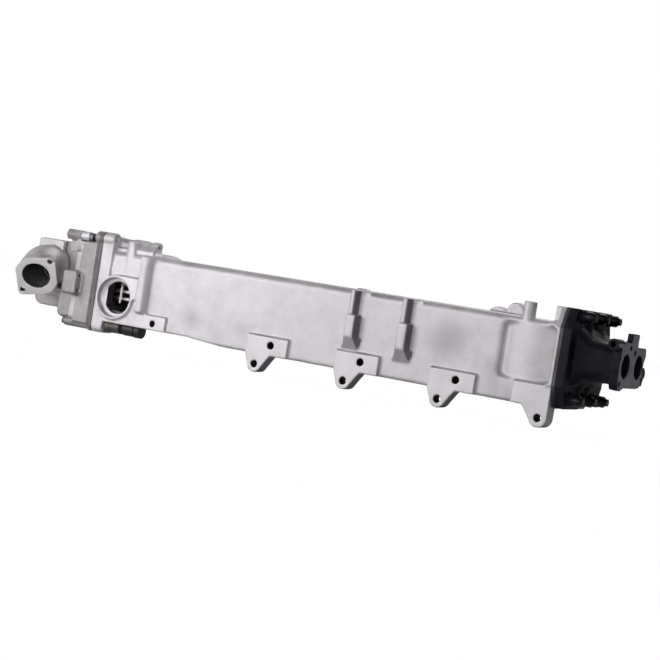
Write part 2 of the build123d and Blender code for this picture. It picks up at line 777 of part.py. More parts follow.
def manifold_webs():
    """Stiffening webs between the joint flange and the neck."""
    webs = []
    x0 = inlet_x[1] - 2.0
    for y in (core_centre_y - web_y, core_centre_y + web_y):
        for z_tip, z_root in ((port_z + neck_half_h, hot_bolt_top_z), (port_z - neck_half_h, hot_bolt_bottom_z)):
            side = outline(
                (x0, z_tip), (x0, z_root), (x0 + web_reach / 4, z_root),
                (x0 + web_reach / 2, (z_root + 2 * z_tip) / 3), (x0 + web_reach, z_tip),
            )
            webs.append(side_slab(side, (y - web_t / 2, y + web_t / 2)))
    return webs


def hex_screw(x_seat, x_end, y, z, d, towards=1):
    """Flange screw along X: the head stands off the seat, the shank points the other way."""
    head = hex_x(screw_head_af, sorted_pair(x_seat, x_seat + towards * screw_head_h), y, z)
    collar = rod_x(screw_flange_r, sorted_pair(x_seat, x_seat + towards * screw_flange_t), y, z)
    shank = rod_x(d / 2 - 0.15, sorted_pair(x_end, x_seat + towards * 1.0), y, z)
    return head + collar + shank


def sorted_pair(a, b):
    """The two values, lower first."""
    return (min(a, b), max(a, b))


sleeve_len = 8.0


def manifold_sleeves():
    """Spacer sleeves under the manifold screw heads."""
    sleeves = []
    for y, z in hot_bolts:
        x = (boss_end_x, boss_end_x + sleeve_len)
        sleeve = rod_x(sleeve_r, x, y, z)
        sleeve -= rod_x(hot_bolt_d / 2 + screw_clear, (x[0] - 1, x[1] + 1), y, z)
        sleeves.append(sleeve)
    return Compound(children=sleeves)


def manifold_bolts():
    """Long flange screws through sleeve, manifold, header and gasket into the jacket."""
    seat = boss_end_x + sleeve_len
    end = hot_face_x - hot_flange_t + 3.0
    return Compound(children=[hex_screw(seat, end, y, z, hot_bolt_d) for y, z in hot_bolts])


def cover_gasket():
    """Flat gasket between the jacket and the outlet cover."""
    ring = end_slab(cold_flange_outline(), cover_gasket_x)
    ring -= end_slab(core_window(1.5), (cover_gasket_x[0] - 1, cover_gasket_x[1] + 1))
    for y, z in cold_all_bolts:
        ring -= rod_x(cold_bolt_d / 2 + screw_clear, (cover_gasket_x[0] - 1, cover_gasket_x[1] + 1), y, z)
    return ring


elbow_corner = elbow_face - elbow_out * elbow_run
elbow_base_y = cover_chamber_front_y - elbow_gasket_t
elbow_end = Vector(elbow_corner.X, elbow_base_y, elbow_corner.Z)
elbow_base_x = (-700.0, -650.0)
elbow_foot_x = -632.5
elbow_base_z = (47.0, 138.5)
elbow_screws = ((-640.5, 64.0), (-691.5, 56.0))
cover_boss_len = 14.0
cover_step_x = -602.0
cover_step_y = 8.0
cover_strip_y = 0.5
cover_knee_x = -626.0
cover_knee_z = (15.0, 60.0)
cover_long_seat_x = -601.5
cover_shoulder_z = 19.5
cover_chamber_r = 16.0
cover_lug_x = (-620.5, -591.5)
cover_lug_y = 8.0
cover_lug_z = 151.6
cover_lug_af = 16.5
sensor_block_x = (-604.0, -576.0)
sensor_block_y = (-17.0, 12.0)
sensor_block_z = (55.5, 94.0)
sensor_corner_r = 5.0
sensor_edge_r = 3.5
sensor_hole_y = -8.0
sensor_hole_z = (63.4, 87.0)
sensor_hole_d = 5.0


def gas_outlet_cover():
    """Cast cover: joint flange, front panel, stepped shoulder and outlet chamber."""
    flange_x = (cover_face_x - cover_flange_t, cover_face_x)
    body = end_slab(cold_flange_outline(), flange_x)
    panel = outline(
        (cover_panel_x, cover_panel_bottom_z), (cover_face_x - 2.0, cover_panel_bottom_z),
        (cover_face_x - 2.0, cover_panel_top_z), (cover_panel_x + 12.0, cover_panel_top_z),
        (cover_panel_x, cover_panel_top_z - 13.0),
    )
    panel = side_slab(panel, (-3.0, core_y[0] + cover_wall))
    band = outline(
        (cover_face_x - cover_flange_t, -4.0), (cover_face_x + 1.0, -4.0), (cover_face_x + 1.0, 5.0),
    )
    panel -= extrude(Pos(0, 0, -5.0) * band, 170.0, dir=(0, 0, 1))
    body += panel
    hood_y = (core_y[0] - cover_wall, core_y[1] + cover_wall)
    hood_z = (core_z[0] - cover_wall, core_z[1] + cover_wall)
    body += block((cover_panel_x, cover_face_x - 1.0), hood_y, hood_z)
    shoulder = outline(
        (cover_step_x, hood_y[1]), (cover_step_x, cover_step_y + 3.0), (cover_step_x + 3.0, cover_step_y),
        (cover_panel_x, cover_strip_y), (cover_panel_x + 2.0, cover_strip_y), (cover_panel_x + 2.0, hood_y[1]),
    )
    shoulder_h = cover_chamber_top_z - 3.0 - cover_shoulder_z
    body += extrude(Pos(0, 0, cover_shoulder_z) * shoulder, shoulder_h, dir=(0, 0, 1))
    knee = rect((cover_knee_x, cover_panel_x + 2.0), cover_knee_z)
    knee = fillet(knee.vertices().sort_by(Axis.X)[:2], cover_chamber_r - 4.0)
    body += side_slab(knee, (cover_step_y + 2.0, cover_chamber_back_y))
    chamber = block((cover_chamber_x, cover_step_x + 2.0), (cover_chamber_front_y, cover_chamber_back_y),
                    (cover_chamber_bottom_z, cover_chamber_top_z))
    left = chamber.edges().filter_by(Axis.Y).sort_by(Axis.X)[:2].sort_by(Axis.Z)
    chamber = fillet(left[:1], cover_chamber_r)
    body += chamber
    for y, z in cold_bolts:
        body += rod_x(cold_small_boss_r, (cover_face_x - cover_boss_len, cover_face_x - 1.0), y, z)
    body += rod_x(cold_boss_r, (cover_face_x - cover_boss_len, cover_face_x - 1.0), *cold_nose_bolt)
    body += rod_x(cold_small_boss_r, (cover_long_seat_x, cover_face_x - 1.0), *cold_long_bolt)
    body += hex_x(cover_lug_af, cover_lug_x, cover_lug_y, cover_lug_z)
    body += block((cover_lug_x[0] + 6.0, cover_lug_x[1]), (cover_lug_y, cover_chamber_front_y + 4.0),
                  (cover_chamber_top_z - 16.0, cover_lug_z))
    body += block((cover_lug_x[1] - 8.0, cover_panel_x + 14.0), (2.0, cover_chamber_front_y),
                  (cover_chamber_top_z - 12.0, cover_panel_top_z - 1.0))
    sensor = side_slab(rect(sensor_block_x, sensor_block_z, sensor_corner_r), sensor_block_y)
    body += fillet(sensor.faces().sort_by(Axis.Y)[0].edges(), sensor_edge_r)

    body -= end_slab(core_window(), (cover_step_x - 1.0, cover_face_x + 1.0))
    inner_y = (cover_chamber_front_y + cover_wall, cover_chamber_back_y - cover_wall)
    body -= block((cover_chamber_x + cover_wall, cover_step_x), inner_y,
                  (cover_chamber_bottom_z + cover_wall + 8.0, cover_chamber_top_z - cover_wall))
    body -= rod_y(elbow_bore_d / 2, elbow_end.X, (cover_chamber_front_y - 2.0, inner_y[0] + 1.0), elbow_end.Z)
    body -= rod_x(screw_flange_r + screw_clear, (cover_knee_x - 1.0, cover_long_seat_x), *cold_long_bolt)
    for y, z in cold_bolts + [cold_long_bolt]:
        body -= rod_x(cold_bolt_d / 2 + screw_clear, (cover_long_seat_x - 1.0, cover_face_x + 1.0), y, z)
    nose_x = (cover_face_x - cover_boss_len - 1.0, cover_face_x + 1.0)
    body -= rod_x(cold_bolt_d / 2 + screw_clear, nose_x, *cold_nose_bolt)
    for x, z in elbow_screws:
        body -= rod_y(3.4, x, (cover_chamber_front_y - 1.0, cover_chamber_front_y + 14.0), z)
    for z in sensor_hole_z:
        body -= rod_x(sensor_hole_d / 2, (sensor_block_x[1] - 14.0, sensor_block_x[1] + 4.0), sensor_hole_y, z)
    body -= rod_x(4.0, (cover_lug_x[1] - 20.0, cover_lug_x[1] + 1.0), cover_lug_y, cover_lug_z)
    return body


def cover_bolts():
    """Flange screws that pull the cover onto the jacket."""
    end = cold_face_x + cold_bolt_depth - 1.0
    seat = cover_face_x - cover_boss_len
    short = cold_bolts + [cold_nose_bolt]
    screws = [hex_screw(seat, end, y, z, cold_bolt_d, towards=-1) for y, z in short]
    screws.append(hex_screw(cover_long_seat_x, end, *cold_long_bolt, cold_bolt_d, towards=-1))
    return Compound(children=screws)


cap_sleeve_len = 15.0
cap_head_len = 7.0


def top_spacer_sleeve():
    """Turned sleeve on the upper cover lug."""
    x = (cover_lug_x[1], cover_lug_x[1] + cap_sleeve_len)
    return rod_x(7.6, x, cover_lug_y, cover_lug_z) - rod_x(4.2, (x[0] - 1, x[1] + 1), cover_lug_y, cover_lug_z)


def top_cap_screw():
    """Socket cap screw through the sleeve into the upper cover lug."""
    seat = cover_lug_x[1] + cap_sleeve_len
    head = rod_x(6.5, (seat, seat + cap_head_len), cover_lug_y, cover_lug_z)
    head -= hex_x(6.0, (seat + cap_head_len - 4.0, seat + cap_head_len + 1.0), cover_lug_y, cover_lug_z)
    return head + rod_x(3.9, (cover_lug_x[1] - 18.0, seat + 1.0), cover_lug_y, cover_lug_z)


def elbow_base_outline():
    """Base plate of the elbow, drawn in side view."""
    foot = rect((elbow_base_x[0], elbow_foot_x), (elbow_base_z[0], elbow_screws[0][1] + 14.0), 8.0)
    plate = rect(elbow_base_x, (elbow_base_z[0] + 20.0, elbow_base_z[1]), 2.0)
    return plate + foot + disc(elbow_body_r + 1.0, elbow_end.X, elbow_end.Z)


def elbow_gasket():
    """Gasket under the elbow base."""
    y = (elbow_base_y, cover_chamber_front_y)
    ring = side_slab(elbow_base_outline(), y)
    cut_y = (y[0] - 1.0, y[1] + 1.0)
    ring -= rod_y(elbow_bore_d / 2 + 1.0, elbow_end.X, cut_y, elbow_end.Z)
    for x, z in elbow_screws:
        ring -= rod_y(3.9, x, cut_y, z)
    return ring


def outlet_elbow():
    """Cast elbow: bolted base, bent neck and a slanted two bolt flange."""
    face = Plane(origin=elbow_face, x_dir=elbow_across, z_dir=-elbow_out)
    path = FilletPolyline(elbow_face, elbow_corner, elbow_end, radius=elbow_bend_r)
    w, h, d = elbow_flange_half_w, elbow_flange_top, elbow_flange_bottom
    flange = outline(
        (-0.39 * w, h), (0.8 * w, h), (w, 0.74 * h), (0.91 * w, -0.44 * d), (0.6 * w, -0.85 * d),
        (0.215 * w, -d), (-0.875 * w, -d), (-0.97 * w, -0.865 * d), (-0.9 * w, 0.386 * h),
    )
    if (face.y_dir).Z < 0:
        flange = mirror(flange, Plane.XZ)
    body = extrude(face * flange, elbow_flange_t)
    body += sweep(face * Circle(elbow_body_r), path)
    body += side_slab(elbow_base_outline(), (elbow_base_y - elbow_base_t, elbow_base_y))
    body = body - block((-800.0, -500.0), (elbow_base_y, elbow_base_y + 60.0), (0.0, 200.0))
    body -= sweep(face * Circle(elbow_bore_d / 2), path)
    up = 1 if face.y_dir.Z > 0 else -1
    for s in (-1, 1):
        hole = face * Pos(s * elbow_bolt_x, s * up * elbow_bolt_y) * Circle(elbow_bolt_d / 2)
        body -= extrude(hole, elbow_flange_t + 12.0)
    for x, z in elbow_screws:
        body -= rod_y(3.9, x, (elbow_base_y - elbow_base_t - 1.0, elbow_base_y + 1.0), z)
        body -= rod_y(6.2, x, (elbow_base_y - elbow_base_t - 14.0, elbow_base_y - elbow_base_t), z)
    return body


def elbow_bolts():
    """Screws that hold the elbow base to the outlet chamber."""
    screws = []
    seat = elbow_base_y - elbow_base_t
    for x, z in elbow_screws:
        head = rod_y(5.2, x, (seat - 6.5, seat), z)
        socket = side_plane(seat - 4.0) * Pos(x, z) * RegularPolygon(2.5, 6, major_radius=False)
        head -= extrude(socket, 6.0)
        screws.append(head + rod_y(3.3, x, (seat - 1.0, cover_chamber_front_y + 12.0), z))
    return Compound(children=screws)


drain_collar_len = 10.0
drain_body_len = 19.0
drain_nut_len = 8.0
drain_cap_len = 21.0
drain_knob_len = 11.0


def drain_fitting():
    """Threaded coolant fitting: collar and round body."""
    x0 = drain_x
    body = rod_x(11.0, (x0, x0 + drain_collar_len), drain_y, drain_z)
    body += rod_x(10.2, (x0 + drain_collar_len - 1, x0 + drain_collar_len + drain_body_len), drain_y, drain_z)
    body += rod_x(drain_thread_r - 0.2, (x0 - drain_thread_len + 1.0, x0 + 1.0), drain_y, drain_z)
    spigot = x0 + drain_collar_len + drain_body_len
    body += rod_x(6.0, (spigot - 1.0, spigot + drain_nut_len + drain_cap_len - 4.0), drain_y, drain_z)
    return body - rod_x(3.5, (x0 - drain_thread_len, spigot + drain_nut_len + drain_cap_len), drain_y, drain_z)


def drain_nut():
    """Hexagonal nut that clamps the cap on the fitting."""
    x0 = drain_x + drain_collar_len + drain_body_len
    nut = hex_x(19.0, (x0, x0 + drain_nut_len), drain_y, drain_z)
    return nut - rod_x(6.2, (x0 - 1, x0 + drain_nut_len + 1), drain_y, drain_z)


def drain_cap():
    """Dark cap with a knurled knob on the end of the fitting."""
    x0 = drain_x + drain_collar_len + drain_body_len + drain_nut_len
    cap = rod_x(10.8, (x0, x0 + drain_cap_len), drain_y, drain_z)
    cap += rod_x(11.5, (x0 + drain_cap_len - 1, x0 + drain_cap_len + drain_knob_len), drain_y, drain_z)
    neck = x0 + drain_cap_len
    cap -= rod_x(12.5, (neck, neck + 2.0), drain_y, drain_z) - rod_x(9.6, (neck, neck + 2.0), drain_y, drain_z)
    return cap - rod_x(6.2, (x0 - 1, x0 + drain_cap_len - 3.0), drain_y, drain_z)


def main():
    os.makedirs("parts", exist_ok=True)
    front, rear = tube_places()
    nodes = {
        "cooler_housing": cooler_housing(),
        "front_tube_stack": tube_stack(front),
        "rear_tube_stack": tube_stack(rear),
        "hot_header_plate": hot_header_plate(),
        "cold_header": cold_header(),
        "cold_header_seal": cold_header_seal(),
        "tube_grids": tube_grids(),
        "hot_gasket": hot_gasket(),
        "gas_inlet_manifold": gas_inlet_manifold(),
        "manifold_sleeves": manifold_sleeves(),
        "manifold_bolts": manifold_bolts(),
        "cover_gasket": cover_gasket(),
        "gas_outlet_cover": gas_outlet_cover(),
        "cover_bolts": cover_bolts(),
        "top_spacer_sleeve": top_spacer_sleeve(),
        "top_cap_screw": top_cap_screw(),
        "elbow_gasket": elbow_gasket(),
        "outlet_elbow": outlet_elbow(),
        "elbow_bolts": elbow_bolts(),
        "drain_fitting": drain_fitting(),
        "drain_nut": drain_nut(),
        "drain_cap": drain_cap(),
    }
    for name, shape in nodes.items():
        export_step(shape, "parts/" + name + ".step")


main()
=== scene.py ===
import math

import bmesh
import bpy
from mathutils import Matrix, Vector


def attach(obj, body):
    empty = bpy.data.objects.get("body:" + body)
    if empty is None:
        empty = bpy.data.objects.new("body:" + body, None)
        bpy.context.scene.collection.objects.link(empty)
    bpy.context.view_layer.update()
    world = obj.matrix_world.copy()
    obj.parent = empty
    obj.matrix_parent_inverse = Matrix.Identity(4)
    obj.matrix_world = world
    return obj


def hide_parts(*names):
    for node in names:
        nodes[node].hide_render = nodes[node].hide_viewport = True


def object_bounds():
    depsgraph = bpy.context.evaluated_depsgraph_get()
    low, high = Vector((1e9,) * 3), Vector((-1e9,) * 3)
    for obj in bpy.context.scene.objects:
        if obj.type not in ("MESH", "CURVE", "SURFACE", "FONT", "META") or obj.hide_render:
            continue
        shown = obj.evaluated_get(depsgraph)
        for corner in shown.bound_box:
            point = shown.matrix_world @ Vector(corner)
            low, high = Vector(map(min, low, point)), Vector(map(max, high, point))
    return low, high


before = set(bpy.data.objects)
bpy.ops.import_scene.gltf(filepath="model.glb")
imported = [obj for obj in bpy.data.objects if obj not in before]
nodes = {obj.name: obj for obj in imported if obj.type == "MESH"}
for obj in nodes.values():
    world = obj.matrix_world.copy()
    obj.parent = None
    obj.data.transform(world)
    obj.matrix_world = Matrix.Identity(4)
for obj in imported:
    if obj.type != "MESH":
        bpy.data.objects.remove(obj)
scene = bpy.context.scene


def corners(box):
    """A box as plain lists of numbers."""
    return [[float(v) for v in corner] for corner in box]


cad_box = corners(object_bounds())

# Camera: it stands to the right of the lug side, a little above the middle, tilted about its own axis.
image_px = 660
focal_px = 1632.86
sensor_mm = 36.0
camera_place = Vector((1.0397, -2.1321, 0.1475))
camera_yaw = math.radians(28.36)
camera_drop = math.radians(1.82)
camera_roll = math.radians(9.02)


def add_camera():
    """The camera at the photograph's viewing angle."""
    look = Vector((-math.sin(camera_yaw) * math.cos(camera_drop),
                   math.cos(camera_yaw) * math.cos(camera_drop), -math.sin(camera_drop)))
    level = Vector((math.cos(camera_yaw), math.sin(camera_yaw), 0.0))
    upright = level.cross(look)
    right = level * math.cos(camera_roll) + upright * math.sin(camera_roll)
    top = upright * math.cos(camera_roll) - level * math.sin(camera_roll)
    data = bpy.data.cameras.new("camera")
    data.sensor_width = sensor_mm
    data.lens = focal_px * sensor_mm / image_px
    data.clip_start = 0.05
    data.clip_end = 30.0
    camera = bpy.data.objects.new("camera", data)
    camera.matrix_world = Matrix.Translation(camera_place) @ Matrix((right, top, -look)).transposed().to_4x4()
    scene.collection.objects.link(camera)
    scene.camera = camera


def colour(code):
    """Linear colour of an sRGB hex value."""
    parts = [int(code[i:i + 2], 16) / 255.0 for i in (1, 3, 5)]
    return [c / 12.92 if c <= 0.04045 else ((c + 0.055) / 1.055) ** 2.4 for c in parts] + [1.0]


def put(tree, kind, values=None, links=None, stops=(), **settings):
    """Adds a node with its settings, input values, links and a ramp's stops of (place, hex colour)."""
    node = tree.nodes.new(kind)
    for name, value in settings.items():
        setattr(node, name, value)
    for name, value in (values or {}).items():
        node.inputs[name].default_value = value
    for name, source in (links or {}).items():
        tree.links.new(source, node.inputs[name])
    for at, _ in stops[1:-1]:
        node.color_ramp.elements.new(at)
    if stops:
        for cell, (at, code) in zip(node.color_ramp.elements, stops):
            cell.position = at
            cell.color = colour(code)
    return node


def start_material(name, metallic, roughness):
    """A new material with its tree, shader and object coordinates."""
    material = bpy.data.materials.new(name)
    material.use_nodes = True
    tree = material.node_tree
    tree.nodes.clear()
    shader = put(tree, "ShaderNodeBsdfPrincipled", {"Metallic": metallic, "Roughness": roughness})
    put(tree, "ShaderNodeOutputMaterial", links={"Surface": shader.outputs["BSDF"]})
    place = put(tree, "ShaderNodeTexCoord").outputs["Object"]
    return material, tree, shader, place


def layered(tree, base, layers):
    """A colour under layers of (share, hex colour), each laid over the ones before it."""
    for share, code in layers:
        base = put(tree, "ShaderNodeMix", {"B": colour(code)}, {"Factor": share, "A": base},
                   data_type="RGBA").outputs[2]
    return base


def shut_in(tree, reach, closed, free, most, samples):
    """A share that is at its most where little light gets in from a reach around, and 0 on free surfaces."""
    light = put(tree, "ShaderNodeAmbientOcclusion", {"Distance": reach}, samples=samples)
    share = put(tree, "ShaderNodeMapRange",
                {"From Min": closed, "From Max": free, "To Min": most, "To Max": 0.0},
                {"Value": light.outputs["AO"]})
    return share.outputs["Result"]


def hollow_shade_share(tree):
    """The share of painted shade in hollows: 1 where little light gets in from 40 mm around."""
    return shut_in(tree, 0.040, closed=0.10, free=0.32, most=1.0, samples=12)


smudge_share = 0.4


def smudge(tree, place, smear, centre, reach):
    """A share that fades from its most at a centre to 0 at its reach, with a rim made wavy by a noise."""
    away = put(tree, "ShaderNodeVectorMath", {1: centre}, {0: place}, operation="DISTANCE")
    wavy = put(tree, "ShaderNodeMath", {1: reach, 2: -reach / 2.0}, {0: smear}, operation="MULTIPLY_ADD")
    near = put(tree, "ShaderNodeMath", links={0: away.outputs["Value"], 1: wavy.outputs[0]}, operation="ADD")
    share = put(tree, "ShaderNodeMapRange",
                {"From Min": 0.0, "From Max": reach, "To Min": smudge_share, "To Max": 0.0},
                {"Value": near.outputs[0]}, interpolation_type="SMOOTHSTEP")
    return share.outputs["Result"]


# What all castings have in common: how strongly grit, stains and the painted shade in corners show, how deep
# the grit is, and the white of the painted highlight on edges. Blasting grit and sand skin are too fine to
# show in the render, so they are drawn 1.5 to 2.4 mm wide.
cast_stops = (0.46, 0.61, 0.78)
edge_highlight_white = "#ffffff"
grit_share = 0.22
grit_depth = 0.0005
stain_mm = 95.0
stain_share = 0.22
corner_shade_share = 0.6


def cast_metal(name, tones, grime_and_corner_shade, hollow_shade, metallic=0.6, roughness=0.56, grain_mm=1.5, cloud_mm=48.0,
               relief=0.3, shine=0.5, edge_highlight=0.12, smudges=()):
    """Cast metal: cloudy tone, faint stains, fine grit, a painted highlight on convex edges, painted shade in
    corners and painted shade in hollows.

    The tones are the clouds' dark, middle and light colour. A smudge is a centre and how far it reaches.
    The grime colour also paints shade into corners; the hollow colour is painted shade in hollows.
    """
    material, tree, shader, place = start_material(name, metallic, roughness)
    shader.inputs["Specular IOR Level"].default_value = shine
    cloud = put(tree, "ShaderNodeTexNoise", {"Scale": 1000.0 / cloud_mm, "Detail": 6.0, "Roughness": 0.65},
                {"Vector": place}).outputs["Fac"]
    grit = put(tree, "ShaderNodeTexNoise", {"Scale": 1000.0 / grain_mm, "Detail": 2.0, "Roughness": 0.6},
               {"Vector": place}).outputs["Fac"]
    smear = put(tree, "ShaderNodeTexNoise", {"Scale": 1000.0 / stain_mm, "Detail": 2.0, "Distortion": 0.6},
                {"Vector": place}).outputs["Fac"]
    tone = put(tree, "ShaderNodeMath", {1: grit_share}, {0: grit, 2: cloud}, operation="MULTIPLY_ADD")
    base = put(tree, "ShaderNodeValToRGB", links={"Fac": tone.outputs[0]}, stops=list(zip(cast_stops, tones)))
    stain = put(tree, "ShaderNodeMapRange",
                {"From Min": 0.60, "From Max": 0.74, "To Min": 0.0, "To Max": stain_share}, {"Value": smear})
    # Painted highlight: sharp convex edges, found by their pointiness, are mixed toward white.
    edge = put(tree, "ShaderNodeNewGeometry").outputs["Pointiness"]
    edge_highlight_share = put(tree, "ShaderNodeMapRange",
               {"From Min": 0.515, "From Max": 0.575, "To Min": 0.0, "To Max": edge_highlight}, {"Value": edge})
    # Painted shade: corners where little light gets in from 5 mm around take the grime colour.
    corner = shut_in(tree, 0.005, closed=0.25, free=0.70, most=corner_shade_share, samples=8)
    layers = [(stain.outputs["Result"], grime_and_corner_shade)]
    layers += [(smudge(tree, place, smear, centre, reach), grime_and_corner_shade) for centre, reach in smudges]
    layers += [(corner, grime_and_corner_shade), (edge_highlight_share.outputs["Result"], edge_highlight_white), (hollow_shade_share(tree), hollow_shade)]
    tree.links.new(layered(tree, base.outputs["Color"], layers), shader.inputs["Base Color"])
    rough = put(tree, "ShaderNodeMapRange",
                {"From Min": 0.3, "From Max": 0.7, "To Min": roughness - 0.06, "To Max": roughness + 0.08},
                {"Value": cloud})
    tree.links.new(rough.outputs["Result"], shader.inputs["Roughness"])
    bump = put(tree, "ShaderNodeBump", {"Strength": relief, "Distance": grit_depth}, {"Height": grit})
    tree.links.new(bump.outputs["Normal"], shader.inputs["Normal"])
    return material


# What all turned skins have in common. Cutter marks are too fine to show in the render, so they are drawn
# 0.8 mm wide.
streak_mm = 0.8
streak_share = 0.35
streak_depth = 0.0002
streak_relief = 0.12
tarnish_mm = 30.0
turned_stops = (0.35, 0.65)
# The colour of the painted shade in a turned skin's hollows.
turned_hollow_shade = "#0a0a0b"


def turned_metal(name, tones, roughness, metallic):
    """Machined, drawn or moulded skin: fine uneven streaks, a tighter shine than a casting and painted shade
    in hollows.

    The tones are its dark and light colour.
    """
    material, tree, shader, place = start_material(name, metallic, roughness)
    streak = put(tree, "ShaderNodeTexNoise", {"Scale": 1000.0 / streak_mm, "Detail": 3.0},
                 {"Vector": place}).outputs["Fac"]
    tarnish = put(tree, "ShaderNodeTexNoise", {"Scale": 1000.0 / tarnish_mm, "Detail": 3.0},
                  {"Vector": place}).outputs["Fac"]
    tone = put(tree, "ShaderNodeMix", {"Factor": streak_share}, {"A": tarnish, "B": streak},
               data_type="FLOAT").outputs[0]
    base = put(tree, "ShaderNodeValToRGB", links={"Fac": tone}, stops=list(zip(turned_stops, tones)))
    shaded = layered(tree, base.outputs["Color"], [(hollow_shade_share(tree), turned_hollow_shade)])
    tree.links.new(shaded, shader.inputs["Base Color"])
    bump = put(tree, "ShaderNodeBump", {"Strength": streak_relief, "Distance": streak_depth},
               {"Height": streak})
    tree.links.new(bump.outputs["Normal"], shader.inputs["Normal"])
    return material


jacket_smudges = (((-0.360, 0.006, 0.052), 0.030), ((0.079, 0.006, 0.086), 0.042))

# Shot blasted cast aluminium: an even, matt silver with soft clouds, two smudges and no sharp reflections.
blasted_aluminium = cast_metal("blasted_cast_aluminium", ("#bab6ba", "#cbc7cb", "#d8d4d8"), "#77737a",
                               "#1d1c20", roughness=0.54, smudges=jacket_smudges)
# Painted shade on the lugs' undersides and the ribs' flanks, a guess from how dark they look: the blasted
# casting as a darker, duller silver.
painted_shade_aluminium = cast_metal("painted_shade_aluminium", ("#76737a", "#858289", "#949197"), "#48454b",
                                    "#151418", roughness=0.62)
# Cast aluminium left as cast, for the cover: darker and a little warmer than the blasted jacket.
raw_aluminium = cast_metal("raw_cast_aluminium", ("#868284", "#9a9698", "#aeaaac"), "#524a47", "#19181a",
                           roughness=0.52)
# Painted shade on the cover's band beside its joint, a guess from how dark that band looks: dark, with no
# shine.
joint_band_shade = cast_metal("cover_joint_band_shade", ("#635f60", "#726e6f", "#817d7e"), "#453f3d", "#151415",
                        roughness=0.62)
# Painted light on the cover's leaning faces, a guess from how bright they look: the brightest part of it.
painted_light_aluminium = cast_metal("painted_light_aluminium", ("#d0cbcb", "#dcd7d7", "#e6e2e2"), "#8a8582", "#19181a",
                              roughness=0.5)
# The cover's cast aluminium with painted light, for the elbow: a shade brighter than the cover.
elbow_painted_light_aluminium = cast_metal("elbow_cast_aluminium_painted_light", ("#b1adae", "#c6c2c3", "#d8d4d5"), "#6a6769",
                               "#5a5758", roughness=0.54)
# Painted shade inside the jacket, in drilled holes and on the wall behind the port: nearly black and dull.
painted_shade_water_side = cast_metal("water_side_painted_shade", ("#1f1f21", "#29292b", "#353538"), "#151516", "#08080a",
                        metallic=0.2, roughness=0.7, edge_highlight=0.0)
# Painted shade in the gas bore, the chamber and the small holes: as dark as old tin.
painted_shade_gas_side = cast_metal("gas_side_painted_shade", ("#2c2b2e", "#3b3a3d", "#4a494c"), "#1b1a1c", "#0c0c0d", metallic=0.2,
                      roughness=0.7, edge_highlight=0.0)
# Black stove enamel on grey iron: nearly black with a bluish cast, and a soft sheen over a coarse sand skin.
black_enamel = cast_metal("black_enamelled_iron", ("#101019", "#171722", "#22222f"), "#08080a", "#050506",
                          metallic=0.0, roughness=0.48, grain_mm=2.4, cloud_mm=30.0, relief=0.4, shine=0.14,
                          edge_highlight=0.03)
# Milled aluminium: a little brighter than the blasted skin round it, with faint cutter marks.
milled_aluminium = turned_metal("milled_aluminium", ("#cfcbcf", "#dcd8dc"), roughness=0.56, metallic=0.55)
# The same cut on the elbow's alloy, with painted light because its face looks down: paler still.
milled_painted_light = turned_metal("milled_aluminium_painted_light", ("#e4e0e1", "#f0eced"), roughness=0.55, metallic=0.55)
# Milled iron on the port face: mid grey, dull.
milled_iron = turned_metal("milled_iron_face", ("#8a8a92", "#9e9ea6"), roughness=0.55, metallic=0.4)
# Brazed stainless tube and sheet: bright, smooth and a little warm.
stainless_sheet = turned_metal("brazed_stainless", ("#8a8783", "#a8a5a0"), roughness=0.32, metallic=0.95)
# Zinc plated steel: cool grey with a low shine.
zinc_plate = turned_metal("zinc_plated_steel", ("#6c6c70", "#8a8a8e"), roughness=0.45, metallic=0.8)
# Black oxide steel: dark, slightly oily.
black_oxide = turned_metal("black_oxide_steel", ("#1c1c20", "#2e2e33"), roughness=0.36, metallic=0.7)
# Layered steel gasket: dark edge line between two castings.
gasket_steel = turned_metal("layered_steel_gasket", ("#3a3839", "#5a5758"), roughness=0.5, metallic=0.6)
# Moulded rubber: black and dull.
seal_rubber = turned_metal("moulded_seal_rubber", ("#101010", "#1a1a1a"), roughness=0.7, metallic=0.0)
# Steel with worn plating, for the drain fitting: dark and warm.
worn_steel = turned_metal("worn_plated_steel", ("#56514f", "#716c69"), roughness=0.5, metallic=0.7)
# Moulded nylon cap: black with a faint satin skin.
cap_nylon = turned_metal("moulded_nylon_cap", ("#121213", "#1f1f21"), roughness=0.48, metallic=0.0)

node_finishes = {
    "front_tube_stack": stainless_sheet, "rear_tube_stack": stainless_sheet, "hot_header_plate": gasket_steel,
    "cold_header": stainless_sheet, "cold_header_seal": seal_rubber, "tube_grids": stainless_sheet,
    "hot_gasket": gasket_steel, "manifold_sleeves": black_oxide, "manifold_bolts": black_oxide,
    "cover_gasket": gasket_steel, "cover_bolts": zinc_plate, "top_spacer_sleeve": milled_aluminium,
    "top_cap_screw": zinc_plate, "elbow_gasket": gasket_steel, "elbow_bolts": zinc_plate,
    "drain_fitting": worn_steel, "drain_nut": black_oxide, "drain_cap": cap_nylon,
}
for name, material in node_finishes.items():
    slots = nodes[name].data.materials
    slots.clear()
    slots.append(material)

merge_distance = 1e-6
relax_factor = 0.5


def inside(place, box):
    """True from a box's lowest corner to its highest."""
    (x_low, y_low, z_low), (x_high, y_high, z_high) = box
    x, y, z = place
    return x_low <= x <= x_high and y_low <= y <= y_high and z_low <= z <= z_high


